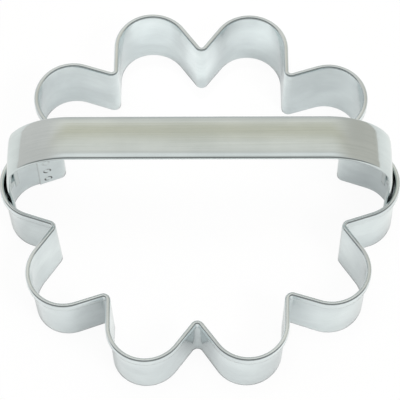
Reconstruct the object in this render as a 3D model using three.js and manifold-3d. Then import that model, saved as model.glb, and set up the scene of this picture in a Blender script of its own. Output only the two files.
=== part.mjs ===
// A flower-shaped cookie cutter of tinplate: one strip bent to ten petals, lapped and spot-welded
// at a seam, and a strap handle spot-welded to the inside of two opposite petals.
// Millimetres, +Z up. The cutting edge lies on z = 0, the flower's centre is on the Z axis, the
// handle runs along X, and the seam is on the back flank of the petal at -X.

import * as THREE from 'three';
import Module from 'manifold-3d';

const wasm = await Module();
wasm.setup();

// Tinplate sheet, and the space that stays open inside a folded edge
const sheetThickness = 0.3;
const hemGap = 0.4;

// Flower outline, measured on the middle of the sheet
const petalPairs = 5;
const petalTipRadius = 59.15;
const petalArcRadius = 10.7;
const creaseRadius = 45.1;
const creaseBendRadius = 2.2;

// Cutting band: its height, and how far its upper edge is folded down on the outside
const bandHeight = 24;
const bandHemDepth = 2.8;

// Lap seam: how far the outer end stays clear of the crease, and how far the inner end laps it
const seamSetback = 0.6;
const lapLength = 6.2;

// Strap handle: both long edges are folded under, and the legs lean in towards the top.
// The legs bow to follow the petal's arc, on a radius that is a little larger than a snug fit.
const strapWidth = 13.3;
const strapHemDepth = 2.4;
const handleRise = 29.2;
const strapBendRadius = 19;
const legReach = 12;
const legLean = THREE.MathUtils.degToRad(4);
const legBowEasing = 1;

// Spot welds: a thin nugget between two sheets, with a little room on either side of it
const nuggetThickness = 0.2;
const nuggetClearance = 0.15;
const seamNuggetRadius = 1.3;
const seamWeldMargin = 2.7;
const seamWeldPitch = 5.4;
const seamWeldInset = 3.4;
const legNuggetRadius = 0.9;
const legWeldMargin = 2.5;
const legWeldSpread = 4.4;

// How finely round stretches and bowed faces are divided
const outlineFacet = THREE.MathUtils.degToRad(13);
const strapFacet = THREE.MathUtils.degToRad(9);
const foldFacet = THREE.MathUtils.degToRad(45);
const legStep = 4;
const bowStep = 1.7;
const nuggetSides = 16;
const shortestStretch = 0.001;

// Folded edges and welded joints, from the sheet
const halfSheet = sheetThickness / 2;
const foldInside = hemGap / 2;
const foldOutside = foldInside + sheetThickness;
const jointGap = nuggetThickness + 2 * nuggetClearance;
const foldFoot = bandHeight - foldOutside;

// Petals and creases: straight flanks are the crossing tangents of a petal's arc and a crease's bend.
// A crease can't be rounder than half the space between two neighbouring petals.
const petalCount = 2 * petalPairs;
const petalStep = (2 * Math.PI) / petalCount;
const arcCentreRadius = petalTipRadius - petalArcRadius;
const creaseRoom = arcCentreRadius * Math.sin(petalStep / 2) - petalArcRadius;
const creaseBend = Math.min(creaseBendRadius, creaseRoom);
const bendCentreRadius = creaseRadius + creaseBend;
const arcToBend = polar(bendCentreRadius, petalStep / 2).sub(polar(arcCentreRadius, 0));
const petalHalfAngle = arcToBend.angle() - Math.acos((petalArcRadius + creaseBend) / arcToBend.length());

// Seam flank, from the crease's bend to the arc of the petal at -X
const seamAxis = Math.PI;
const flankOutward = seamAxis - petalHalfAngle;
const seamFlankStart = polar(bendCentreRadius, seamAxis - petalStep / 2).sub(polar(creaseBend, flankOutward));
const seamFlankEnd = polar(arcCentreRadius, seamAxis).add(polar(petalArcRadius, flankOutward));
const seamDirection = seamFlankEnd.clone().sub(seamFlankStart).normalize();
const outerEnd = seamFlankStart.clone().addScaledVector(seamDirection, seamSetback);
const innerEnd = outerEnd.clone().addScaledVector(seamDirection, lapLength);
const lapInset = sheetThickness + jointGap;

// Handle: the middle of the strap, seen along Y
const strapMiddle = bandHeight + handleRise - halfSheet;
const footHeight = bandHeight - legReach;
const legWeldHeight = footHeight + legWeldMargin;
const legAtWeld = petalTipRadius - sheetThickness - jointGap;
const footX = legAtWeld + legWeldMargin * Math.tan(legLean);
const bendHeight = strapMiddle - strapBendRadius;
const legLength = (bendHeight - footHeight + strapBendRadius * Math.sin(legLean)) / Math.cos(legLean);
const bendX = footX - legLength * Math.sin(legLean) - strapBendRadius * Math.cos(legLean);
const legBowRadius = petalArcRadius - sheetThickness - jointGap + legBowEasing;

/** The plane point at a radius and an angle. */
function polar(radius, angle) {
  return new THREE.Vector2(radius * Math.cos(angle), radius * Math.sin(angle));
}

/** Points along a path of lines and arcs, each with the direction to its right. */
function trace(path, facetAngle, lineStep = Infinity) {
  const stations = [];
  for (const curve of path.curves.filter((stretch) => stretch.getLength() > shortestStretch)) {
    const stepLength = curve.isLineCurve ? lineStep : curve.xRadius * facetAngle;
    const steps = Math.max(1, Math.ceil(curve.getLength() / stepLength));
    const first = stations.length === 0 ? 0 : 1;
    for (let step = first; step <= steps; step += 1) {
      const along = step / steps;
      const tangent = curve.getTangent(along);
      const right = new THREE.Vector2(tangent.y, -tangent.x);
      stations.push({ point: curve.getPoint(along), right, curve, along });
    }
  }
  return stations;
}

/** The corners of a closed section, without a second copy of the first one. */
function corners(section, facetAngle, lineStep) {
  const points = trace(section, facetAngle, lineStep).map((station) => station.point);
  return points.slice(0, -1);
}

/** A closed solid through rings of points that all share one section, flat at both ends. */
function loft(section, rings) {
  const size = section.length;
  const index = [];
  for (let ring = 0; ring + 1 < rings.length; ring += 1) {
    const here = ring * size;
    const there = here + size;
    for (let corner = 0; corner < size; corner += 1) {
      const next = (corner + 1) % size;
      index.push(here + corner, there + corner, there + next);
      index.push(here + corner, there + next, here + next);
    }
  }
  const last = (rings.length - 1) * size;
  for (const face of THREE.ShapeUtils.triangulateShape(section, [])) {
    const turnsLeft = THREE.ShapeUtils.area(face.map((corner) => section[corner])) > 0;
    const [a, b, c] = turnsLeft ? face : face.toReversed();
    index.push(a, b, c);
    index.push(last + c, last + b, last + a);
  }
  const positions = rings.flat().flatMap((point) => point.toArray());
  const geometry = new THREE.BufferGeometry();
  geometry.setAttribute('position', new THREE.Float32BufferAttribute(positions, 3));
  geometry.setIndex(index);
  return geometry;
}

/** Two closed solids joined to one. */
function join(first, second) {
  const solids = [first, second].map((geometry) => new wasm.Manifold(new wasm.Mesh({
    numProp: 3,
    vertProperties: geometry.getAttribute('position').array,
    triVerts: new Uint32Array(geometry.getIndex().array),
  })));
  const joined = solids[0].add(solids[1]).getMesh();
  const geometry = new THREE.BufferGeometry();
  geometry.setAttribute('position', new THREE.BufferAttribute(joined.vertProperties, 3));
  geometry.setIndex(new THREE.BufferAttribute(joined.triVerts, 1));
  return geometry;
}

/** A named piece of bare tinplate. */
function tinplate(name, geometry) {
  const material = new THREE.MeshStandardMaterial({ color: 0xc9cfce, metalness: 1, roughness: 0.3 });
  const piece = new THREE.Mesh(geometry, material);
  piece.name = name;
  return piece;
}

/** The strip's run: once round the flower from its outer end, then on to its lapping inner end. */
function stripPath() {
  const path = new THREE.Path();
  path.moveTo(outerEnd.x, outerEnd.y);
  path.lineTo(seamFlankEnd.x, seamFlankEnd.y);
  for (let petal = 0; petal < petalCount; petal += 1) {
    const axis = seamAxis + petal * petalStep;
    const nextAxis = axis + petalStep;
    const arcCentre = polar(arcCentreRadius, axis);
    const bendCentre = polar(bendCentreRadius, axis + petalStep / 2);
    const bendStart = axis + petalHalfAngle + Math.PI;
    const bendEnd = nextAxis - petalHalfAngle + Math.PI;
    path.absarc(arcCentre.x, arcCentre.y, petalArcRadius, axis - petalHalfAngle, axis + petalHalfAngle, false);
    path.absarc(bendCentre.x, bendCentre.y, creaseBend, bendStart, bendEnd, true);
  }
  path.lineTo(innerEnd.x, innerEnd.y);
  return path;
}

/** Section of the hemmed strip: outwards from the middle of the wall, and up. */
function hemmedSection() {
  const foldCentre = halfSheet + foldInside;
  const flangeFoot = bandHeight - bandHemDepth;
  const section = new THREE.Shape();
  section.moveTo(-halfSheet, 0);
  section.lineTo(halfSheet, 0);
  section.absarc(foldCentre, foldFoot, foldInside, Math.PI, 0, true);
  section.lineTo(foldCentre + foldInside, flangeFoot);
  section.lineTo(foldCentre + foldOutside, flangeFoot);
  section.absarc(foldCentre, foldFoot, foldOutside, 0, Math.PI, false);
  section.lineTo(-halfSheet, 0);
  return corners(section, foldFacet);
}

/** Section of the strip's plain tongue, which has no hem. */
function tongueSection() {
  return [
    new THREE.Vector2(-halfSheet, 0),
    new THREE.Vector2(halfSheet, 0),
    new THREE.Vector2(halfSheet, foldFoot),
    new THREE.Vector2(-halfSheet, foldFoot),
  ];
}

/** The cutting band. Its inner end steps inwards round the last crease and laps the outer end. */
function cuttingBand() {
  const path = stripPath();
  const stations = trace(path, outlineFacet);
  const lastCrease = path.curves.at(-2);
  const lastFlank = path.curves.at(-1);
  const insetAt = ({ curve, along }) => {
    if (curve === lastFlank) return lapInset;
    return curve === lastCrease ? lapInset * THREE.MathUtils.smoothstep(along, 0, 1) : 0;
  };
  const ring = (section, station) => section.map(({ x, y }) => {
    const { point, right } = station;
    const outward = x - insetAt(station);
    return new THREE.Vector3(point.x + right.x * outward, point.y + right.y * outward, y);
  });
  const hemmed = hemmedSection();
  const tongue = tongueSection();
  const hemStations = stations.filter(({ curve }) => curve !== lastFlank);
  const tongueStations = stations.slice(hemStations.length - 2);
  const hemmedStrip = loft(hemmed, hemStations.map((station) => ring(hemmed, station)));
  const plainTongue = loft(tongue, tongueStations.map((station) => ring(tongue, station)));
  return tinplate('cutting_band', join(hemmedStrip, plainTongue));
}

/** Section of the strap: across its width, and down from the middle of the sheet. */
function strapSection() {
  const foldEdge = strapWidth / 2 - foldOutside;
  const foldDepth = halfSheet + foldInside;
  const flangeEdge = strapWidth / 2 - strapHemDepth;
  const flangeTop = foldDepth + foldInside;
  const flangeBottom = foldDepth + foldOutside;
  const quarter = Math.PI / 2;
  const section = new THREE.Shape();
  section.moveTo(-foldEdge, -halfSheet);
  section.lineTo(foldEdge, -halfSheet);
  section.absarc(foldEdge, foldDepth, foldOutside, -quarter, quarter, false);
  section.lineTo(flangeEdge, flangeBottom);
  section.lineTo(flangeEdge, flangeTop);
  section.absarc(foldEdge, foldDepth, foldInside, quarter, -quarter, true);
  section.absarc(-foldEdge, foldDepth, foldInside, -quarter, -3 * quarter, true);
  section.lineTo(-flangeEdge, flangeTop);
  section.lineTo(-flangeEdge, flangeBottom);
  section.absarc(-foldEdge, foldDepth, foldOutside, quarter, 3 * quarter, false);
  return corners(section, foldFacet, bowStep);
}

/** The middle line of the handle, from the foot at -X over the top to the foot at +X. */
function handlePath() {
  const path = new THREE.Path();
  const legTop = polar(strapBendRadius, Math.PI - legLean).add(new THREE.Vector2(-bendX, bendHeight));
  path.moveTo(-footX, footHeight);
  path.lineTo(legTop.x, legTop.y);
  path.absarc(-bendX, bendHeight, strapBendRadius, Math.PI - legLean, Math.PI / 2, true);
  path.absarc(bendX, bendHeight, strapBendRadius, Math.PI / 2, legLean, true);
  path.lineTo(footX, footHeight);
  return path;
}

/** The strap handle: flat on top, and bowed more and more towards the feet to follow the petal. */
function handleStrap() {
  const section = strapSection();
  const drop = strapMiddle - footHeight;
  const ring = ({ point, right }) => {
    const bow = THREE.MathUtils.smoothstep(strapMiddle - point.y, 0, drop) / legBowRadius;
    return section.map(({ x, y }) => {
      const across = bow > 0 ? (1 / bow - y) * Math.sin(x * bow) : x;
      const inward = bow > 0 ? 1 / bow - (1 / bow - y) * Math.cos(x * bow) : y;
      return new THREE.Vector3(point.x + right.x * inward, across, point.y + right.y * inward);
    });
  };
  const stations = trace(handlePath(), strapFacet, legStep);
  return tinplate('handle_strap', loft(section, stations.map(ring)));
}

/** One weld nugget, its axis level and along the sheets' outward direction. */
function weldNugget(name, radius, place, height, outwardAngle) {
  const disc = new THREE.CylinderGeometry(radius, radius, nuggetThickness, nuggetSides);
  const nugget = tinplate(name, disc);
  nugget.position.set(place.x, place.y, height);
  nugget.rotation.z = outwardAngle - Math.PI / 2;
  return nugget;
}

/** Nuggets in the lap: one column up the band, numbered from the cutting edge. */
function seamWelds() {
  const welds = new THREE.Group();
  const column = innerEnd.clone().addScaledVector(seamDirection, -seamWeldInset);
  const place = column.sub(polar(lapInset / 2, flankOutward));
  const highest = foldFoot - seamWeldMargin;
  for (let height = seamWeldMargin; height <= highest; height += seamWeldPitch) {
    const name = `seam_weld_${welds.children.length + 1}`;
    welds.add(weldNugget(name, seamNuggetRadius, place, height, flankOutward));
  }
  return welds;
}

/** Nuggets between each leg of the handle and its petal, a front and a back one. */
function legWelds() {
  const welds = new THREE.Group();
  const nuggetArc = petalArcRadius - lapInset / 2;
  const swing = legWeldSpread / 2 / nuggetArc;
  const legs = [['left', Math.PI, 1], ['right', 0, -1]];
  const sides = [['front', 1], ['back', -1]];
  for (const [leg, axis, towardsFront] of legs) {
    for (const [side, sign] of sides) {
      const outwardAngle = axis + towardsFront * sign * swing;
      const place = polar(arcCentreRadius, axis).add(polar(nuggetArc, outwardAngle));
      const name = `${leg}_leg_weld_${side}`;
      welds.add(weldNugget(name, legNuggetRadius, place, legWeldHeight, outwardAngle));
    }
  }
  return welds;
}

const cookieCutter = new THREE.Group();
cookieCutter.add(cuttingBand());
cookieCutter.add(handleStrap());
cookieCutter.add(seamWelds());
cookieCutter.add(legWelds());

export default cookieCutter;
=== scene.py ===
"""Flower cookie cutter of tinplate: the looks of its band, strap handle and spot welds."""

import logging
import math
from dataclasses import dataclass
from enum import Enum

import bmesh
import bpy
from mathutils import Matrix, Vector


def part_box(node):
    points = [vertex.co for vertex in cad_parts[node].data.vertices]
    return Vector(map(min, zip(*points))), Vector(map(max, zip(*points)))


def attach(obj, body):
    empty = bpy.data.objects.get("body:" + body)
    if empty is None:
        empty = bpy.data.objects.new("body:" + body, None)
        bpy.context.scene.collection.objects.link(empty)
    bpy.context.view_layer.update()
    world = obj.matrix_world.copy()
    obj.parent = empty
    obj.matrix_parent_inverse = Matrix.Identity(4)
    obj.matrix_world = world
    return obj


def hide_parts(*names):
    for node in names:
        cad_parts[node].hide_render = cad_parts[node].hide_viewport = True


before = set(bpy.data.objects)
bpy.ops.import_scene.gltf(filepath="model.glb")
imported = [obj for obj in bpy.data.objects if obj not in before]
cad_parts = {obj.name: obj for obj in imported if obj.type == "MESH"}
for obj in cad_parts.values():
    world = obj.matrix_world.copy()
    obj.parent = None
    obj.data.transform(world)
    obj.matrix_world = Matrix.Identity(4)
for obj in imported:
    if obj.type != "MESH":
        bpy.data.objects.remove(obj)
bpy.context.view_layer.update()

log = logging.getLogger("cookie_cutter")

MM = 0.001
Y_AXIS = Vector((0, 1, 0))
UP = Vector((0, 0, 1))
BODY = "root"


class Slot(Enum):
    """The record's material slots."""

    BAND = "band_tinplate"
    STRAP = "strap_tinplate"
    WELD = "weld_steel"


class Leg(Enum):
    """The two legs of the handle, each by the way it lies from the middle along X."""

    LEFT = -1
    RIGHT = 1


class Row(Enum):
    """The two welds of a leg, each by the way it lies from the middle along Y."""

    FRONT = -1
    BACK = 1


def linear(hex_colour: str) -> tuple[float, ...]:
    """Turn an sRGB hex colour into a linear one.

    Args:
        hex_colour: A hash and six hex digits.

    Returns:
        Linear red, green and blue, and an alpha of 1.
    """
    shares = [int(hex_colour[place:place + 2], 16) / 255 for place in (1, 3, 5)]
    return (*(s / 12.92 if s <= 0.04045 else ((s + 0.055) / 1.055) ** 2.4 for s in shares), 1.0)


def polar(radius: float, angle: float) -> Vector:
    """The point on the floor at a radius and an angle from +X."""
    return Vector((radius * math.cos(angle), radius * math.sin(angle), 0))


def add_node(tree: bpy.types.NodeTree, kind: str, settings: dict, inputs: dict) -> bpy.types.Node:
    """Add a node with its settings and links.

    Args:
        tree: The node tree that takes the node.
        kind: The node's type.
        settings: Values of the node's own properties.
        inputs: For each input socket, by name or number, a value or the socket that feeds it.

    Returns:
        The new node.
    """
    node = tree.nodes.new(kind)
    for name, value in settings.items():
        setattr(node, name, value)
    for name, value in inputs.items():
        if isinstance(value, bpy.types.NodeSocket):
            tree.links.new(value, node.inputs[name])
        else:
            node.inputs[name].default_value = value
    return node


def new_material(name: str) -> tuple[bpy.types.Material, bpy.types.NodeTree]:
    """Start an empty node material.

    Args:
        name: The material's name.

    Returns:
        The material and its cleared node tree.
    """
    material = bpy.data.materials.new(name)
    material.use_nodes = True
    material.node_tree.nodes.clear()
    return material, material.node_tree


def apply_modifier(piece: bpy.types.Object, kind: str, settings: dict) -> None:
    """Add a modifier to a piece and apply it.

    Args:
        piece: The piece to change.
        kind: The modifier's type.
        settings: Values of the modifier's properties.
    """
    bpy.ops.object.select_all(action="DESELECT")
    piece.select_set(True)
    bpy.context.view_layer.objects.active = piece
    bpy.ops.object.modifier_add(type=kind)
    modifier = piece.modifiers[-1]
    for name, value in settings.items():
        setattr(modifier, name, value)
    bpy.ops.object.modifier_apply(modifier=modifier.name)


def hand_over(piece: bpy.types.Object, finish: bpy.types.Material, node: str) -> None:
    """Give a finished piece its material and its place in the frame.

    Args:
        piece: The finished piece.
        finish: Its material.
        node: The CAD node that the piece stands for.
    """
    piece.data.materials.clear()
    piece.data.materials.append(finish)
    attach(piece, BODY)
    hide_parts(node)
    log.info("%s: %d faces, stands for %s", piece.name, len(piece.data.polygons), node)


class Sheet:
    """Sheet metal drawn by hand: a dot is drawn to a line, and the line is swept to a sheet.

    Each point keeps its place on the flat blank, along the strip and across it, in the
    attribute FLAT, so that the rolling marks of the metal follow every bend. The attribute's
    third value is SHEARED at the strip's two ends and 0 elsewhere.
    """

    FLAT = "flat_blank"
    SHEARED = 1 * MM
    NEAR = 0.01 * MM
    SAME = 0.001 * MM

    def __init__(self, name: str, start: Vector, heading: Vector, axis: Vector) -> None:
        """Put down the dot.

        Args:
            name: The piece's name.
            start: Where the dot lies.
            heading: The direction in which it is drawn.
            axis: The axis that bends turn about, so that a positive bend turns left.
        """
        bpy.ops.object.select_all(action="DESELECT")
        bpy.ops.mesh.primitive_plane_add(size=MM, location=start)
        bpy.ops.object.transform_apply(location=True, rotation=True, scale=True)
        self.piece = bpy.context.object
        self.piece.name = self.piece.data.name = name
        self.place = start.copy()
        self.heading = heading.normalized()
        self.axis = axis.normalized()
        self.drawn = 0.0
        self.dots = 1
        self.swept = False
        bpy.ops.object.mode_set(mode="EDIT")
        bpy.ops.mesh.select_mode(type="VERT")
        bpy.ops.mesh.merge(type="CENTER")
        bmesh.from_edit_mesh(self.piece.data).verts.layers.float_vector.new(self.FLAT)

    def forward(self, length: float, steps: int) -> None:
        """Draw straight ahead.

        Args:
            length: How far.
            steps: In how many steps.
        """
        for _ in range(steps):
            step = self.heading * (length / steps)
            bpy.ops.mesh.extrude_region_move(TRANSFORM_OT_translate={"value": step})
            self.place += step
            self._note(length / steps)

    def bend(self, radius: float, angle: float, steps: int) -> None:
        """Draw round a bend.

        Args:
            radius: The bend's radius at the drawn line.
            angle: How far it turns, to the left if positive.
            steps: In how many steps.
        """
        left = self.axis.cross(self.heading)
        centre = self.place + left * math.copysign(radius, angle)
        turn = Matrix.Rotation(angle / steps, 3, self.axis)
        for _ in range(steps):
            # The operator counts its angle clockwise
            bpy.ops.mesh.spin(steps=1, angle=-angle / steps, center=centre, axis=self.axis)
            self.place = centre + turn @ (self.place - centre)
            self.heading = turn @ self.heading
            self._note(radius * abs(angle) / steps)

    def sweep(self, place: Vector, heading: Vector, axis: Vector) -> None:
        """Take up the whole line, to draw it out to a sheet.

        Args:
            place: The point of the line that bends are measured from.
            heading: The direction in which it is drawn.
            axis: The axis that bends turn about.
        """
        bpy.ops.mesh.select_all(action="SELECT")
        self.place, self.heading, self.axis = place.copy(), heading.normalized(), axis.normalized()
        self.drawn = 0.0
        self.swept = True

    def let_go(self, reach: float) -> None:
        """Draw on without the part of the line that is less than a reach from its start."""
        mesh = bmesh.from_edit_mesh(self.piece.data)
        flat = mesh.verts.layers.float_vector[self.FLAT]
        for dot in mesh.verts:
            dot.select = dot.select and dot[flat].y >= reach
        mesh.select_flush_mode()
        bmesh.update_edit_mesh(self.piece.data)

    def lay_down(self) -> bpy.types.Object:
        """Stop drawing.

        Returns:
            The sheet, with no thickness yet.
        """
        mesh = bmesh.from_edit_mesh(self.piece.data)
        flat = mesh.verts.layers.float_vector[self.FLAT]
        for dot in mesh.verts:
            inside = self.NEAR < dot[flat].x < self.drawn - self.NEAR
            dot[flat].z = 0.0 if inside else self.SHEARED
        bpy.ops.mesh.select_all(action="SELECT")
        bpy.ops.mesh.remove_doubles(threshold=self.SAME)
        bpy.ops.mesh.normals_make_consistent(inside=False)
        bpy.ops.object.mode_set(mode="OBJECT")
        return self.piece

    def _note(self, length: float) -> None:
        """Note the drawn dots' place on the flat blank.

        Args:
            length: How far they were drawn.
        """
        self.drawn += length
        mesh = bmesh.from_edit_mesh(self.piece.data)
        mesh.verts.ensure_lookup_table()
        flat = mesh.verts.layers.float_vector[self.FLAT]
        for dot in mesh.verts[self.dots:]:
            along, across, _ = dot[flat]
            dot[flat] = (self.drawn, across, 0) if self.swept else (along, self.drawn, 0)
        self.dots = len(mesh.verts)


@dataclass(frozen=True)
class TinplateSheet:
    """The sheet that both pieces are cut from, and how its edges are folded and trimmed."""

    hem_gap: float
    thickness: float = 0.3 * MM
    fold_steps: int = 14
    hem_steps: int = 3
    trim_round: float = 0.05 * MM
    trim_segments: int = 2
    trim_angle: float = math.radians(60)
    smooth_angle: float = math.radians(40)

    @property
    def fold_radius(self) -> float:
        """Radius of a folded edge at the middle of the sheet."""
        return (self.hem_gap + self.thickness) / 2

    @property
    def fold_reach(self) -> float:
        """Radius of a folded edge at its outer face."""
        return self.fold_radius + self.thickness / 2

    def thicken(self, piece: bpy.types.Object) -> None:
        """Give a sheet its thickness, break its cut edges and smooth it.

        Args:
            piece: The sheet, with no thickness yet.
        """
        apply_modifier(piece, "SOLIDIFY", {
            "thickness": self.thickness, "offset": 0.0, "use_even_offset": True,
        })
        apply_modifier(piece, "BEVEL", {
            "width": self.trim_round, "segments": self.trim_segments, "limit_method": "ANGLE",
            "angle_limit": self.trim_angle,
        })
        bpy.ops.object.shade_smooth_by_angle(angle=self.smooth_angle)


@dataclass(frozen=True)
class Tinplate:
    """Cold-rolled steel with a bright tin coat.

    To the eye it is a pale, slightly cool metal: soft mirror images with clouded edges, faint
    streaks along the rolling direction, and the gentle waves of thin sheet bent by hand.
    """

    name: str
    bright: str = "#E4EDEE"
    cloudy: str = "#CED7D9"
    smoothest: float = 0.16
    roughest: float = 0.2
    cloud_width: float = 20 * MM
    cloud_length: float = 26 * MM
    # Where the noise turns from bright to cloudy, and from smoothest to roughest
    bright_to: float = 0.35
    cloudy_from: float = 0.65
    smooth_to: float = 0.25
    rough_from: float = 0.75
    # Real rolling marks are a few hundredths of a millimetre wide and are drawn wider to show
    streak_width: float = 0.7 * MM
    streak_length: float = 40 * MM
    streak_depth: float = 0.001 * MM
    streak_share: float = 0.1
    wave_size: float = 22 * MM
    wave_height: float = 0.05 * MM
    # Bare steel shows where the strip was cut off, as a dull line; the same darker tone spreads a
    # little onto the faces beside each end as painted shade of the lap's edge
    bare_steel_and_shade: str = "#CDD2D3"
    bare_and_shade_from: float = 0.78
    bare_and_shade_full: float = 0.88

    def material(self) -> bpy.types.Material:
        """Make the finish.

        Returns:
            The material.
        """
        material, tree = new_material(self.name)
        blank = add_node(tree, "ShaderNodeAttribute", {"attribute_name": Sheet.FLAT}, {})
        flat = blank.outputs["Vector"]
        drift = add_node(tree, "ShaderNodeMapping", {}, {
            "Vector": flat, "Scale": (1 / self.cloud_length, 1 / self.cloud_width, 1.0),
        })
        clouds = add_node(tree, "ShaderNodeTexNoise", {}, {
            "Vector": drift.outputs["Vector"], "Scale": 1.0, "Detail": 4.0, "Roughness": 0.55,
        })
        stretch = add_node(tree, "ShaderNodeMapping", {}, {
            "Vector": flat, "Scale": (1 / self.streak_length, 1 / self.streak_width, 1.0),
        })
        streaks = add_node(tree, "ShaderNodeTexNoise", {}, {
            "Vector": stretch.outputs["Vector"], "Scale": 1.0, "Detail": 3.0,
        })
        waves = add_node(tree, "ShaderNodeTexNoise", {}, {
            "Vector": flat, "Scale": 1 / self.wave_size, "Detail": 1.0, "Roughness": 0.4,
        })
        blend = add_node(tree, "ShaderNodeMath", {"operation": "MULTIPLY_ADD"}, {
            0: streaks.outputs["Fac"], 1: self.streak_share, 2: clouds.outputs["Fac"],
        })
        lift = self.streak_share / 2
        tint = add_node(tree, "ShaderNodeValToRGB", {}, {"Fac": blend.outputs["Value"]})
        tint.color_ramp.elements[0].position = self.bright_to + lift
        tint.color_ramp.elements[0].color = linear(self.bright)
        tint.color_ramp.elements[1].position = self.cloudy_from + lift
        tint.color_ramp.elements[1].color = linear(self.cloudy)
        parts = add_node(tree, "ShaderNodeSeparateXYZ", {}, {"Vector": flat})
        # Painted shade: near each end the tone turns to bare steel a little early, drawing the
        # lap's shadow line
        bare_and_shade_mask = add_node(tree, "ShaderNodeMapRange", {"interpolation_type": "SMOOTHSTEP"}, {
            "Value": parts.outputs["Z"], "From Min": self.bare_and_shade_from * Sheet.SHEARED,
            "From Max": self.bare_and_shade_full * Sheet.SHEARED,
        })
        colour = add_node(tree, "ShaderNodeMix", {"data_type": "RGBA"}, {
            0: bare_and_shade_mask.outputs["Result"], 6: tint.outputs["Color"], 7: linear(self.bare_steel_and_shade),
        })
        gloss = add_node(tree, "ShaderNodeMapRange", {}, {
            "Value": blend.outputs["Value"], "From Min": self.smooth_to + lift,
            "From Max": self.rough_from + lift,
            "To Min": self.smoothest, "To Max": self.roughest,
        })
        wavy = add_node(tree, "ShaderNodeBump", {}, {
            "Height": waves.outputs["Fac"], "Strength": 1.0, "Distance": self.wave_height,
        })
        rolled = add_node(tree, "ShaderNodeBump", {}, {
            "Height": streaks.outputs["Fac"], "Strength": 1.0, "Distance": self.streak_depth,
            "Normal": wavy.outputs["Normal"],
        })
        metal = add_node(tree, "ShaderNodeBsdfPrincipled", {}, {
            "Base Color": colour.outputs[2], "Metallic": 1.0,
            "Roughness": gloss.outputs["Result"], "Normal": rolled.outputs["Normal"],
        })
        add_node(tree, "ShaderNodeOutputMaterial", {}, {"Surface": metal.outputs["BSDF"]})
        return material


@dataclass(frozen=True)
class WeldedSteel:
    """Tinplate that a welding electrode has pressed and heated.

    To the eye it is a dull pale spot, ringed by broken, nearly black scorch. The ring is also
    painted darkest at two opposite ends as shade of the dished rim. The attribute FACE holds
    each point's place on the spot, in radii.
    """

    FACE = "spot_face"

    name: str
    pressed: str = "#D8E0E0"
    scorch_and_shade: str = "#2C3032"
    roughness: float = 0.26
    blotch_size: float = 0.8 * MM
    ring: float = 0.72
    ring_width: float = 0.4
    # The ring is painted darkest at two opposite ends, as shade of the dished rim, turned to where
    # the shade falls
    shaded_ends_turned: float = math.radians(30)
    shaded_ends_from: float = 0.15
    shaded_ends_full: float = 0.6
    between_shaded_ends: float = 0.35
    scorch_and_shade_from: float = 0.22
    scorch_and_shade_full: float = 0.5
    # The scorch is heaviest on spots low down and fades on higher ones
    heaviest_to: float = 5 * MM
    fading_from: float = 15 * MM
    faintest: float = 0.4

    def material(self) -> bpy.types.Material:
        """Make the finish.

        Returns:
            The material.
        """
        material, tree = new_material(self.name)
        face = add_node(tree, "ShaderNodeAttribute", {"attribute_name": self.FACE}, {})
        turned = add_node(tree, "ShaderNodeMapping", {}, {
            "Vector": face.outputs["Vector"], "Rotation": (0, 0, -self.shaded_ends_turned),
            "Scale": (1.0, 1.0, 0.0),
        })
        parts = add_node(tree, "ShaderNodeSeparateXYZ", {}, {"Vector": turned.outputs["Vector"]})
        aside = add_node(tree, "ShaderNodeMath", {"operation": "ABSOLUTE"}, {0: parts.outputs["X"]})
        # Painted shade: the ring darkens towards two opposite ends of the spot
        ends = add_node(tree, "ShaderNodeMapRange", {"interpolation_type": "SMOOTHSTEP"}, {
            "Value": aside.outputs["Value"], "From Min": self.shaded_ends_from,
            "From Max": self.shaded_ends_full, "To Min": self.between_shaded_ends, "To Max": 1.0,
        })
        reach = add_node(tree, "ShaderNodeVectorMath", {"operation": "LENGTH"}, {
            0: turned.outputs["Vector"],
        })
        on_ring = add_node(tree, "ShaderNodeMath", {"operation": "COMPARE"}, {
            0: reach.outputs["Value"], 1: self.ring, 2: self.ring_width,
        })
        place = add_node(tree, "ShaderNodeTexCoord", {}, {})
        blotches = add_node(tree, "ShaderNodeTexNoise", {}, {
            "Vector": place.outputs["Object"], "Scale": 1 / self.blotch_size, "Detail": 2.0,
        })
        on_ends = add_node(tree, "ShaderNodeMath", {"operation": "MULTIPLY"}, {
            0: ends.outputs["Result"], 1: on_ring.outputs["Value"],
        })
        height = add_node(tree, "ShaderNodeSeparateXYZ", {}, {"Vector": place.outputs["Object"]})
        fading = add_node(tree, "ShaderNodeMapRange", {}, {
            "Value": height.outputs["Z"], "From Min": self.heaviest_to, "From Max": self.fading_from,
            "To Min": 1.0, "To Max": self.faintest,
        })
        scorch = add_node(tree, "ShaderNodeMath", {"operation": "MULTIPLY"}, {
            0: blotches.outputs["Fac"], 1: fading.outputs["Result"],
        })
        scorch_and_rim_shade = add_node(tree, "ShaderNodeMath", {"operation": "MULTIPLY"}, {
            0: on_ends.outputs["Value"], 1: scorch.outputs["Value"],
        })
        # Scorch colour on the ring, mixed with painted shade at its two ends
        tint = add_node(tree, "ShaderNodeValToRGB", {}, {"Fac": scorch_and_rim_shade.outputs["Value"]})
        tint.color_ramp.elements[0].position = self.scorch_and_shade_from
        tint.color_ramp.elements[0].color = linear(self.pressed)
        tint.color_ramp.elements[1].position = self.scorch_and_shade_full
        tint.color_ramp.elements[1].color = linear(self.scorch_and_shade)
        metal = add_node(tree, "ShaderNodeBsdfPrincipled", {}, {
            "Base Color": tint.outputs["Color"], "Metallic": 1.0, "Roughness": self.roughness,
        })
        add_node(tree, "ShaderNodeOutputMaterial", {}, {"Surface": metal.outputs["BSDF"]})
        return material


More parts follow.
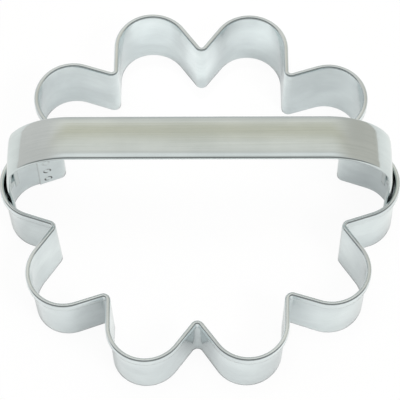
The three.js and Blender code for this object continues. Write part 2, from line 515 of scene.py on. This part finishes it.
@dataclass(frozen=True)
class WhitePaper:
    """Matt white paper of a studio sweep.

    To the eye it is an even white with the object's soft shadow.
    """

    name: str
    colour: str = "#F3F3F2"
    fibre_colour: str = "#EFEFEE"
    fibre_size: float = 4 * MM
    roughness: float = 0.9
    # How much of the paper's white is its own, to the camera and in the metal's reflections
    seen_glow: float = 0.94
    mirrored_glow: float = 0.33

    def material(self) -> bpy.types.Material:
        """Make the finish.

        Returns:
            The material.
        """
        material, tree = new_material(self.name)
        place = add_node(tree, "ShaderNodeTexCoord", {}, {})
        fibres = add_node(tree, "ShaderNodeTexNoise", {}, {
            "Vector": place.outputs["Object"], "Scale": 1 / self.fibre_size, "Detail": 3.0,
        })
        tint = add_node(tree, "ShaderNodeValToRGB", {}, {"Fac": fibres.outputs["Fac"]})
        tint.color_ramp.elements[0].color = linear(self.colour)
        tint.color_ramp.elements[1].color = linear(self.fibre_colour)
        paper = add_node(tree, "ShaderNodeBsdfPrincipled", {}, {
            "Base Color": tint.outputs["Color"], "Roughness": self.roughness,
        })
        white = add_node(tree, "ShaderNodeEmission", {}, {"Strength": 1.0})
        rays = add_node(tree, "ShaderNodeLightPath", {}, {})
        mirrored = add_node(tree, "ShaderNodeMath", {"operation": "MAXIMUM"}, {
            0: rays.outputs["Is Glossy Ray"], 1: rays.outputs["Is Transmission Ray"],
        })
        faint = add_node(tree, "ShaderNodeMath", {"operation": "MULTIPLY"}, {
            0: mirrored.outputs["Value"], 1: self.mirrored_glow,
        })
        strong = add_node(tree, "ShaderNodeMath", {"operation": "MULTIPLY"}, {
            0: rays.outputs["Is Camera Ray"], 1: self.seen_glow,
        })
        share = add_node(tree, "ShaderNodeMath", {"operation": "MAXIMUM"}, {
            0: faint.outputs["Value"], 1: strong.outputs["Value"],
        })
        both = add_node(tree, "ShaderNodeMixShader", {}, {
            0: share.outputs["Value"], 1: paper.outputs["BSDF"], 2: white.outputs["Emission"],
        })
        add_node(tree, "ShaderNodeOutputMaterial", {}, {"Surface": both.outputs["Shader"]})
        return material


Pushes = tuple[tuple[tuple[float, float], ...], ...]


@dataclass(frozen=True)
class HandBending:
    """How far bending by hand has pushed the strip off its ideal line.

    Each push is in millimetres along X and Y, at handles in rows from the back to the front
    and from left to right in a row.
    """

    reach: float = 62 * MM
    height: float = 24 * MM
    edge: Pushes = (
        ((-2.0, 3.0), (0.2, 0.2), (-0.6, -1.4), (-0.9, -0.5)),
        ((-0.2, -0.1), (0.3, 1.4), (0.5, -0.3), (0.4, -0.6)),
        ((1.0, -1.9), (0.4, 1.0), (-0.2, 0.4), (0.0, -0.8)),
        ((-0.6, -2.2), (-0.2, 0.3), (-1.2, 1.0), (-0.8, -0.1)),
    )
    rim: Pushes = (
        ((-0.6, 0.8), (0.0, 0.2), (-0.1, -0.4), (0.5, 0.2)),
        ((0.45, -0.1), (0.4, 0.3), (0.9, 0.1), (-0.1, 0.4)),
        ((0.15, -1.1), (-0.7, -0.5), (0.2, -0.4), (-0.2, 0.0)),
        ((0.4, -2.0), (0.0, 0.0), (-0.1, 0.8), (0.0, 0.7)),
    )

    def push(self, piece: bpy.types.Object) -> None:
        """Push a strip with a lattice of handles at its lower edge and its rim.

        Args:
            piece: The strip, with no thickness yet.
        """
        bpy.ops.object.select_all(action="DESELECT")
        bpy.ops.object.add(type="LATTICE", location=(0, 0, self.height / 2))
        cage = bpy.context.object
        cage.data.points_u = cage.data.points_v = len(self.rim)
        cage.data.points_w = 2
        cage.data.interpolation_type_u = cage.data.interpolation_type_v = "KEY_BSPLINE"
        cage.data.interpolation_type_w = "KEY_LINEAR"
        half = max(handle.co.x for handle in cage.data.points)
        spread = self.reach / half
        cage.scale = (spread, spread, self.height)
        for level, pushes in enumerate((self.edge, self.rim)):
            for row, line in enumerate(reversed(pushes)):
                for column, (aside, back) in enumerate(line):
                    handle = cage.data.points[(level * len(pushes) + row) * len(line) + column]
                    handle.co_deform = handle.co + Vector((aside, back, 0)) * (MM / spread)
        bpy.context.view_layer.update()
        apply_modifier(piece, "LATTICE", {"object": cage})
        bpy.data.objects.remove(cage)


@dataclass
class CuttingBand:
    """The cutting band: a hemmed strip, bent petal by petal, that laps itself on one flank."""

    sheet: TinplateSheet
    finish: Tinplate
    unevenness: HandBending
    height: float
    petals: int = 10
    tip_radius: float = 59.05 * MM
    arc_radius: float = 10.6 * MM
    crease_radius: float = 45 * MM
    crease_bend: float = 2 * MM
    hem_depth: float = 2.8 * MM
    seam_axis: float = math.pi
    seam_setback: float = 0.6 * MM
    lap_end: float = 6.8 * MM
    lap_gap: float = 0.04 * MM
    hem_rows: int = 2
    wall_rows: int = 9
    arc_steps: int = 36
    crease_steps: int = 22
    flank_steps: int = 4

    def __post_init__(self) -> None:
        """Work out the flanks, which are the crossing tangents of an arc and a crease's bend."""
        self.step = 2 * math.pi / self.petals
        self.arc_centre = self.tip_radius - self.arc_radius
        bend_centre = self.crease_radius + self.crease_bend
        between = polar(bend_centre, self.step / 2) - polar(self.arc_centre, 0)
        spread = math.acos((self.arc_radius + self.crease_bend) / between.length)
        self.half_angle = math.atan2(between.y, between.x) - spread
        self.crease_turn = 2 * self.half_angle - self.step
        self.outward = polar(1, self.seam_axis - self.half_angle)
        self.along = UP.cross(self.outward)
        crease = polar(bend_centre, self.seam_axis - self.step / 2)
        self.flank_start = crease - self.outward * self.crease_bend
        flank_end = polar(self.arc_centre, self.seam_axis) + self.outward * self.arc_radius
        self.flank = (flank_end - self.flank_start).length
        self.lap_shift = self.sheet.thickness + self.lap_gap

    def build(self) -> bpy.types.Object:
        """Draw the hemmed section, then bend it round the flower.

        Returns:
            The finished band.
        """
        fold = self.sheet.fold_radius
        fold_foot = self.height - self.sheet.fold_reach
        flange = self.hem_depth - self.sheet.fold_reach
        start = self.flank_start + self.along * self.seam_setback
        hem_edge = start + self.outward * 2 * fold + UP * (self.height - self.hem_depth)
        strip = Sheet("tinplate_band", hem_edge, UP, -self.along)
        strip.forward(flange, self.hem_rows)
        strip.bend(fold, math.pi, self.sheet.fold_steps)
        wall_starts = strip.drawn
        strip.forward(fold_foot, self.wall_rows)
        strip.sweep(start, self.along, UP)
        strip.forward(self.flank - self.seam_setback, self.flank_steps)
        for petal in range(self.petals):
            last = petal == self.petals - 1
            # The last crease comes a little later, so that the strip's end lies inside its start
            delay = self.lap_shift / math.sin(self.crease_turn) if last else 0.0
            strip.bend(self.arc_radius, 2 * self.half_angle, self.arc_steps)
            strip.forward(self.flank + delay, self.flank_steps)
            strip.bend(self.crease_bend, -self.crease_turn, self.crease_steps)
            if not last:
                strip.forward(self.flank, self.flank_steps)
        strip.let_go(wall_starts - Sheet.NEAR)
        strip.forward(self.lap_end, self.flank_steps)
        piece = strip.lay_down()
        self.unevenness.push(piece)
        self.sheet.thicken(piece)
        return piece

    def dress(self, piece: bpy.types.Object) -> None:
        """Give the band its tinplate finish."""
        hand_over(piece, self.finish.material(), "cutting_band")


@dataclass(frozen=True)
class Corner:
    """A bend of the strap: it leaves the top in a wide arc and ends in a tight one at the leg."""

    lean: float
    wide_radius: float
    tight_radius: float
    tight_angle: float

    @property
    def wide_angle(self) -> float:
        """How far the wide arc turns."""
        return math.pi / 2 - self.lean - self.tight_angle

    @property
    def rise(self) -> float:
        """How far the bend climbs from the leg to the top."""
        tight = self.tight_radius * (math.cos(self.wide_angle) - math.sin(self.lean))
        return tight + self.wide_radius * (1 - math.cos(self.wide_angle))

    @property
    def reach(self) -> float:
        """How far the bend leads inward from the leg to the top."""
        tight = self.tight_radius * (math.cos(self.lean) - math.sin(self.wide_angle))
        return tight + self.wide_radius * math.sin(self.wide_angle)


@dataclass
class HandleStrap:
    """The handle: a strap hemmed on both edges, with two bends and two legs that bow."""

    sheet: TinplateSheet
    finish: Tinplate
    width: float
    top: float
    hem_depth: float = 2.4 * MM
    # The crowned face is pressed a little wider than the flat strap
    flare: float = 0.4 * MM
    crown: float = math.radians(3)
    shoulder_radius: float = 8 * MM
    shoulder_angle: float = math.radians(13.5)
    left: Corner = Corner(math.radians(7.2), 21.2 * MM, 4.7 * MM, math.radians(22.8))
    right: Corner = Corner(math.radians(5.2), 20.3 * MM, 9.1 * MM, math.radians(19.6))
    knee_height: float = 19 * MM
    knee_radius: float = 30 * MM
    foot_lean: float = math.radians(0.3)
    foot_height: float = 12 * MM
    foot_reach: float = 58.45 * MM
    # The petal has bowed the legs, fully inside it and less and less above its rim
    bow_radius: float = 11.2 * MM
    bow_full: float = 19 * MM
    bow_starts: float = 34 * MM
    # The strap was welded in a little askew
    tilt: float = math.radians(0.47)
    yaw: float = math.radians(0.18)
    pivot: Vector = Vector((0, 0, 16 * MM))
    shift: Vector = Vector((0.06 * MM, 0.15 * MM, 0))
    face_steps: int = 20
    shoulder_steps: int = 7
    bend_steps: int = 24
    foot_steps: int = 7
    leg_steps: int = 8
    top_steps: int = 40

    def __post_init__(self) -> None:
        """Work out the feet and the height of the sheet's middle."""
        self.middle = self.top - self.sheet.thickness / 2
        self.foot_length = (self.knee_height - self.foot_height) / math.cos(self.foot_lean)

    def leg_length(self, corner: Corner) -> float:
        """The straight length between a corner's tight arc and the knee below it."""
        knee_rise = self.knee_radius * (math.sin(corner.lean) - math.sin(self.foot_lean))
        left_over = self.middle - corner.rise - knee_rise - self.knee_height
        return left_over / math.cos(corner.lean)

    def half_top(self, corner: Corner) -> float:
        """The straight length between the middle of the top and a corner."""
        foot = self.foot_reach - self.foot_length * math.sin(self.foot_lean)
        knee = self.knee_radius * (math.cos(self.foot_lean) - math.cos(corner.lean))
        return foot - knee - self.leg_length(corner) * math.sin(corner.lean) - corner.reach

    def upwards(self, leg: Leg) -> Vector:
        """The direction up a leg's foot."""
        return Vector((-leg.value * math.sin(self.foot_lean), 0, math.cos(self.foot_lean)))

    def build(self) -> bpy.types.Object:
        """Draw the hemmed section, bend it over the flower, bow its legs and thicken it.

        Returns:
            The finished strap.
        """
        fold = self.sheet.fold_radius
        foot = Vector((-self.foot_reach, 0, self.foot_height))
        up = self.upwards(Leg.LEFT)
        inward = Y_AXIS.cross(up)
        flange = self.hem_depth - self.sheet.fold_reach
        slope = self.shoulder_angle + self.crown
        shoulder = self.shoulder_radius * (math.sin(slope) - math.sin(self.crown))
        fold_edge = (self.width + self.flare) / 2 - self.sheet.fold_reach
        crown_radius = (fold_edge - shoulder + fold * math.sin(slope)) / math.sin(self.crown)
        drop = self.shoulder_radius * (math.cos(self.crown) - math.cos(slope))
        drop += crown_radius * (1 - math.cos(self.crown)) + fold * (1 + math.cos(slope))
        hem_edge = foot + inward * drop - Y_AXIS * (fold_edge - flange)
        strap = Sheet("tinplate_strap", hem_edge, -Y_AXIS, -up)
        strap.forward(flange, self.sheet.hem_steps)
        strap.bend(fold, math.pi - slope, self.sheet.fold_steps)
        strap.bend(self.shoulder_radius, self.shoulder_angle, self.shoulder_steps)
        strap.bend(crown_radius, 2 * self.crown, self.face_steps)
        strap.bend(self.shoulder_radius, self.shoulder_angle, self.shoulder_steps)
        strap.bend(fold, math.pi - slope, self.sheet.fold_steps)
        strap.forward(flange, self.sheet.hem_steps)
        strap.sweep(foot, up, Y_AXIS)
        strap.forward(self.foot_length, self.foot_steps)
        strap.bend(self.knee_radius, self.left.lean - self.foot_lean, self.foot_steps)
        strap.forward(self.leg_length(self.left), self.leg_steps)
        strap.bend(self.left.tight_radius, self.left.tight_angle, self.bend_steps)
        strap.bend(self.left.wide_radius, self.left.wide_angle, self.bend_steps)
        strap.forward(self.half_top(self.left) + self.half_top(self.right), self.top_steps)
        strap.bend(self.right.wide_radius, self.right.wide_angle, self.bend_steps)
        strap.bend(self.right.tight_radius, self.right.tight_angle, self.bend_steps)
        strap.forward(self.leg_length(self.right), self.leg_steps)
        strap.bend(self.knee_radius, self.right.lean - self.foot_lean, self.foot_steps)
        strap.forward(self.foot_length, self.foot_steps)
        piece = strap.lay_down()
        for leg in Leg:
            self.bow(piece, leg)
        self.sheet.thicken(piece)
        self.set_askew(piece)
        return piece

    def bow(self, piece: bpy.types.Object, leg: Leg) -> None:
        """Bow one leg across its width, not at all at the top and fully inside the petal.

        Args:
            piece: The strap, with no thickness yet.
            leg: The leg to bow.
        """
        group = piece.vertex_groups.new(name=leg.name)
        drop = self.bow_starts - self.bow_full
        for dot in piece.data.vertices:
            if dot.co.x * leg.value > 0:
                fallen = min(max((self.bow_starts - dot.co.z) / drop, 0.0), 1.0)
                group.add([dot.index], fallen ** 2 * (3 - 2 * fallen), "REPLACE")
        up = self.upwards(leg)
        inward = (Y_AXIS * -leg.value).cross(up)
        turned = Matrix((Y_AXIS * leg.value, inward, up)).transposed().to_4x4()
        foot = Vector((leg.value * self.foot_reach, 0, self.foot_height))
        bpy.ops.object.empty_add(type="PLAIN_AXES")
        former = bpy.context.object
        former.matrix_world = Matrix.Translation(foot) @ turned
        bpy.context.view_layer.update()
        extent = [dot.co.y for dot in piece.data.vertices]
        apply_modifier(piece, "SIMPLE_DEFORM", {
            "deform_method": "BEND", "deform_axis": "Z", "origin": former,
            "angle": (max(extent) - min(extent)) / self.bow_radius, "vertex_group": group.name,
        })
        bpy.data.objects.remove(former)
        piece.vertex_groups.clear()

    def set_askew(self, piece: bpy.types.Object) -> None:
        """Turn the strap into the place in which it was welded."""
        piece.rotation_euler = (0, -self.tilt, self.yaw)
        turn = piece.rotation_euler.to_matrix()
        piece.location = self.pivot - turn @ self.pivot + self.shift
        bpy.ops.object.transform_apply(location=True, rotation=True, scale=True)

    def dress(self, piece: bpy.types.Object) -> None:
        """Give the strap its tinplate finish."""
        hand_over(piece, self.finish.material(), "handle_strap")


@dataclass
class SpotWelds:
    """The spots where an electrode has pressed two sheets together."""

    seam_finish: WeldedSteel
    leg_finish: WeldedSteel
    seam_rows: int = 4
    seam_radius: float = 1.3 * MM
    leg_radius: float = 0.9 * MM
    depth: float = 0.3 * MM
    run_up: float = 5 * MM
    insets: tuple[float, ...] = (0.22, 0.3, 0.3)
    smooth_angle: float = math.radians(50)
    proud: float = 0.012 * MM
    dish: float = 0.03 * MM
    sides: int = 32

    def model(self, name: str, radius: float) -> bpy.types.Object:
        """Model one pressed spot at the origin: a thin disc with a soft rim and a dished middle.

        Args:
            name: The model's name.
            radius: The spot's radius.

        Returns:
            The model, which faces up.
        """
        bpy.ops.object.select_all(action="DESELECT")
        bpy.ops.mesh.primitive_circle_add(vertices=self.sides, radius=radius, fill_type="NGON")
        piece = bpy.context.object
        piece.name = piece.data.name = name
        bpy.ops.object.mode_set(mode="EDIT")
        bpy.ops.mesh.select_all(action="SELECT")
        bpy.ops.transform.translate(value=(0, 0, -self.depth))
        rise = (0, 0, self.depth + self.proud)
        bpy.ops.mesh.extrude_region_move(TRANSFORM_OT_translate={"value": rise})
        for share in self.insets:
            bpy.ops.mesh.inset(thickness=radius * share)
            bpy.ops.transform.translate(value=(0, 0, -self.dish * share))
        bpy.ops.mesh.select_all(action="SELECT")
        bpy.ops.mesh.normals_make_consistent(inside=False)
        bpy.ops.object.mode_set(mode="OBJECT")
        bpy.ops.object.shade_smooth_by_angle(angle=self.smooth_angle)
        places = piece.data.attributes.new(WeldedSteel.FACE, "FLOAT_VECTOR", "POINT")
        for dot in piece.data.vertices:
            places.data[dot.index].vector = dot.co / radius
        return piece

    def set_on(
        self, carrier: bpy.types.Object, node: str, outward: Vector, model: bpy.types.Object,
        finish: bpy.types.Material,
    ) -> None:
        """Set a copy of a spot on the inner face of a sheet, where the CAD node goes through it.

        Args:
            carrier: The piece whose face the spot lies on.
            node: The CAD node.
            outward: The direction through the sheets, from inside the flower.
            model: The spot to copy.
            finish: The spot's material.
        """
        low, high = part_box(node)
        start = (low + high) / 2 - outward * self.run_up
        _, face, normal, _ = carrier.ray_cast(start, outward)
        bpy.ops.object.select_all(action="DESELECT")
        model.select_set(True)
        bpy.context.view_layer.objects.active = model
        bpy.ops.object.duplicate()
        spot = bpy.context.object
        spot.name = spot.data.name = node.replace("weld", "spot")
        spot.location = face
        spot.rotation_euler = normal.to_track_quat("Z", "Y").to_euler()
        bpy.ops.object.transform_apply(location=True, rotation=True, scale=True)
        hand_over(spot, finish, node)

    def build(self, band: CuttingBand, strip: bpy.types.Object, strap: bpy.types.Object) -> None:
        """Build and dress the spots of the seam and of both legs.

        Args:
            band: The band's sizes.
            strip: The finished band.
            strap: The finished strap.
        """
        bpy.context.view_layer.update()
        scorch_and_shade = self.seam_finish.material()
        seam_model = self.model("seam_spot", self.seam_radius)
        for row in range(self.seam_rows):
            self.set_on(strip, f"seam_weld_{row + 1}", band.outward, seam_model, scorch_and_shade)
        pressed = self.leg_finish.material()
        leg_model = self.model("leg_spot", self.leg_radius)
        for leg in Leg:
            for row in Row:
                node = f"{leg.name}_leg_weld_{row.name}".lower()
                self.set_on(strap, node, Vector((leg.value, 0, 0)), leg_model, pressed)
        for model in (seam_model, leg_model):
            bpy.data.objects.remove(model)


@dataclass(frozen=True)
class Lamp:
    """A soft round lamp that lights the paper, so that the metal mirrors the paper's shadows."""

    name: str
    place: Vector
    size: float
    power: float
    aim: Vector = Vector((0, 0, 0))
    beam: float = 0.0

    def build(self) -> None:
        """Hang the lamp: an open one, or a spotlight where it has a beam."""
        light = bpy.data.lights.new(self.name, "SPOT" if self.beam else "AREA")
        if self.beam:
            light.spot_size = self.beam
            light.spot_blend = 1.0
            light.shadow_soft_size = self.size / 2
        else:
            light.shape = "DISK"
            light.size = self.size
        light.energy = self.power
        lamp = bpy.data.objects.new(self.name, light)
        bpy.context.scene.collection.objects.link(lamp)
        lamp.location = self.place
        lamp.rotation_euler = (self.aim - self.place).to_track_quat("-Z", "Y").to_euler()
        # The metal mirrors the tent in place of the lamp
        lamp.visible_glossy = False


@dataclass(frozen=True)
class LightTent:
    """White cloth hung round the object, with the dark room behind the camera.

    The cloth's tone is given by pitch, in degrees: 0 is level behind the object, 90 is overhead
    and 180 is level behind the camera. A warm batten crosses it at 60, and its left and right
    ends have tones of their own.
    """

    cloth: tuple[tuple[float, str], ...] = (
        (0, "#C4C2C0"), (30, "#D8D6D4"), (40, "#E8E4DE"), (55, "#F2EDE5"), (60, "#D6D0BD"),
        (66, "#F2EEE7"), (76, "#E0DDD9"), (83, "#FAF9F8"), (91, "#FAF9F8"), (106, "#747473"),
        (134, "#747473"), (146, "#A4A4A3"), (180, "#BCBCBB"),
    )
    left_end: str = "#E1DCD9"
    right_end: str = "#D3CEC6"
    end_starts: float = 0.12
    end_full: float = 0.7
    room_starts: float = 0.05
    room_full: float = -0.25

    def build(self) -> None:
        """Make the world that lights the object."""
        world = bpy.data.worlds.new("light_tent")
        bpy.context.scene.world = world
        world.use_nodes = True
        tree = world.node_tree
        tree.nodes.clear()
        towards = add_node(tree, "ShaderNodeTexCoord", {}, {}).outputs["Generated"]
        parts = add_node(tree, "ShaderNodeSeparateXYZ", {}, {"Vector": towards})
        pitch = add_node(tree, "ShaderNodeMath", {"operation": "ARCTAN2"}, {
            0: parts.outputs["Z"], 1: parts.outputs["Y"],
        })
        share = add_node(tree, "ShaderNodeMath", {"operation": "DIVIDE"}, {
            0: pitch.outputs["Value"], 1: math.pi,
        })
        cloth = add_node(tree, "ShaderNodeValToRGB", {}, {"Fac": share.outputs["Value"]})
        stops = cloth.color_ramp.elements
        while len(stops) < len(self.cloth):
            stops.new(1.0)
        for stop, (angle, shade) in zip(stops, self.cloth):
            stop.position = angle / 180
            stop.color = linear(shade)
        lit = add_node(tree, "ShaderNodeMapRange", {"interpolation_type": "SMOOTHSTEP"}, {
            "Value": parts.outputs["Y"], "From Min": self.room_full, "From Max": self.room_starts,
        })
        colour = cloth.outputs["Color"]
        for way, shade in ((-1, self.left_end), (1, self.right_end)):
            aside = add_node(tree, "ShaderNodeMapRange", {"interpolation_type": "SMOOTHSTEP"}, {
                "Value": parts.outputs["X"], "From Min": way * self.end_starts,
                "From Max": way * self.end_full,
            })
            end = add_node(tree, "ShaderNodeMath", {"operation": "MULTIPLY"}, {
                0: aside.outputs["Result"], 1: lit.outputs["Result"],
            })
            mixed = add_node(tree, "ShaderNodeMix", {"data_type": "RGBA"}, {
                0: end.outputs["Value"], 6: colour, 7: linear(shade),
            })
            colour = mixed.outputs[2]
        rays = add_node(tree, "ShaderNodeLightPath", {}, {})
        tent = add_node(tree, "ShaderNodeBackground", {}, {"Color": colour, "Strength": 1.0})
        white = add_node(tree, "ShaderNodeBackground", {}, {"Color": (1, 1, 1, 1), "Strength": 1.0})
        both = add_node(tree, "ShaderNodeMixShader", {}, {
            0: rays.outputs["Is Camera Ray"], 1: tent.outputs[0], 2: white.outputs[0],
        })
        add_node(tree, "ShaderNodeOutputWorld", {}, {"Surface": both.outputs["Shader"]})


@dataclass
class Studio:
    """A white paper sweep in a light tent, and the camera."""

    paper: WhitePaper
    tent: LightTent
    lamps: tuple[Lamp, ...]
    floor_size: float = 1.2
    floor_gap: float = 0.02 * MM
    elevation: float = math.radians(64.6266)
    azimuth: float = math.radians(1.8678)
    roll: float = math.radians(-1.4549)
    distance: float = 0.617142
    target: Vector = Vector((0.2974 * MM, -6.2968 * MM, 24.0421 * MM))
    focal_pixels: float = 2064.03
    picture_pixels: float = 400
    sensor: float = 36
    clip_start: float = 10 * MM

    def build_floor(self) -> None:
        """Lay the paper just under the cutting edge."""
        bpy.ops.object.select_all(action="DESELECT")
        bpy.ops.mesh.primitive_plane_add(
            size=self.floor_size, location=(0, 0, -self.floor_gap),
        )
        floor = bpy.context.object
        floor.name = "paper_sweep"
        floor.data.materials.append(self.paper.material())

    def build_camera(self) -> None:
        """Set up the camera at the photograph's viewing angle."""
        level = polar(math.cos(self.elevation), self.azimuth - math.pi / 2)
        back = level + UP * math.sin(self.elevation)
        right = UP.cross(back).normalized()
        above = back.cross(right)
        turned = Matrix((right, above, back)).transposed() @ Matrix.Rotation(self.roll, 3, "Z")
        view = bpy.data.cameras.new("camera")
        view.sensor_width = self.sensor
        view.lens = self.focal_pixels / self.picture_pixels * self.sensor
        view.clip_start = self.clip_start
        camera = bpy.data.objects.new("camera", view)
        bpy.context.scene.collection.objects.link(camera)
        place = Matrix.Translation(self.target + back * self.distance)
        camera.matrix_world = place @ turned.to_4x4()
        bpy.context.scene.camera = camera

    def build(self) -> None:
        """Build the whole studio."""
        self.build_floor()
        self.build_camera()
        self.tent.build()
        for lamp in self.lamps:
            lamp.build()
        bpy.context.scene.view_settings.view_transform = "Standard"


def main() -> None:
    """Build and dress the band, the strap and the welds, then set up the studio."""
    logging.basicConfig(level=logging.INFO, format="%(name)s: %(message)s")
    _, band_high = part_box("cutting_band")
    strap_low, strap_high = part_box("handle_strap")
    band = CuttingBand(
        TinplateSheet(hem_gap=0.85 * MM), Tinplate("bright_tinplate_band"), HandBending(),
        height=band_high.z,
    )
    strip = band.build()
    band.dress(strip)
    strap = HandleStrap(
        # The strap's tin is drawn darker than the band's: partly a duller coat, partly painted
        # shade for the dimmer reflection on its top
        TinplateSheet(hem_gap=0.5 * MM), Tinplate(
            "dulled_tinplate_strap", bright="#D6DFDF", cloudy="#CAD3D3", smoothest=0.08,
            roughest=0.13, streak_width=0.55 * MM, streak_depth=0.008 * MM, streak_share=0.4,
            wave_height=0.1 * MM,
        ),
        width=strap_high.y - strap_low.y, top=strap_high.z,
    )
    handle = strap.build()
    strap.dress(handle)
    # Both kinds of spot are ringed with scorch and painted shade at two opposite ends
    welds = SpotWelds(WeldedSteel("scorched_weld_steel"), WeldedSteel("pressed_weld_steel"))
    welds.build(band, strip, handle)
    lamps = (
        Lamp("key_lamp", Vector((0.49, -0.49, 0.98)), size=0.35, power=5.4),
        Lamp("top_lamp", Vector((0, -0.05, 1.2)), size=0.5, power=4.9),
        Lamp(
            "back_lamp", Vector((0, 0.25, 1.15)), size=0.06, power=22.0,
            aim=Vector((-4 * MM, 43 * MM, 0)), beam=math.radians(4),
        ),
    )
    Studio(WhitePaper("matt_white_paper"), LightTent(), lamps).build()


if __name__ == "__main__":
    main()
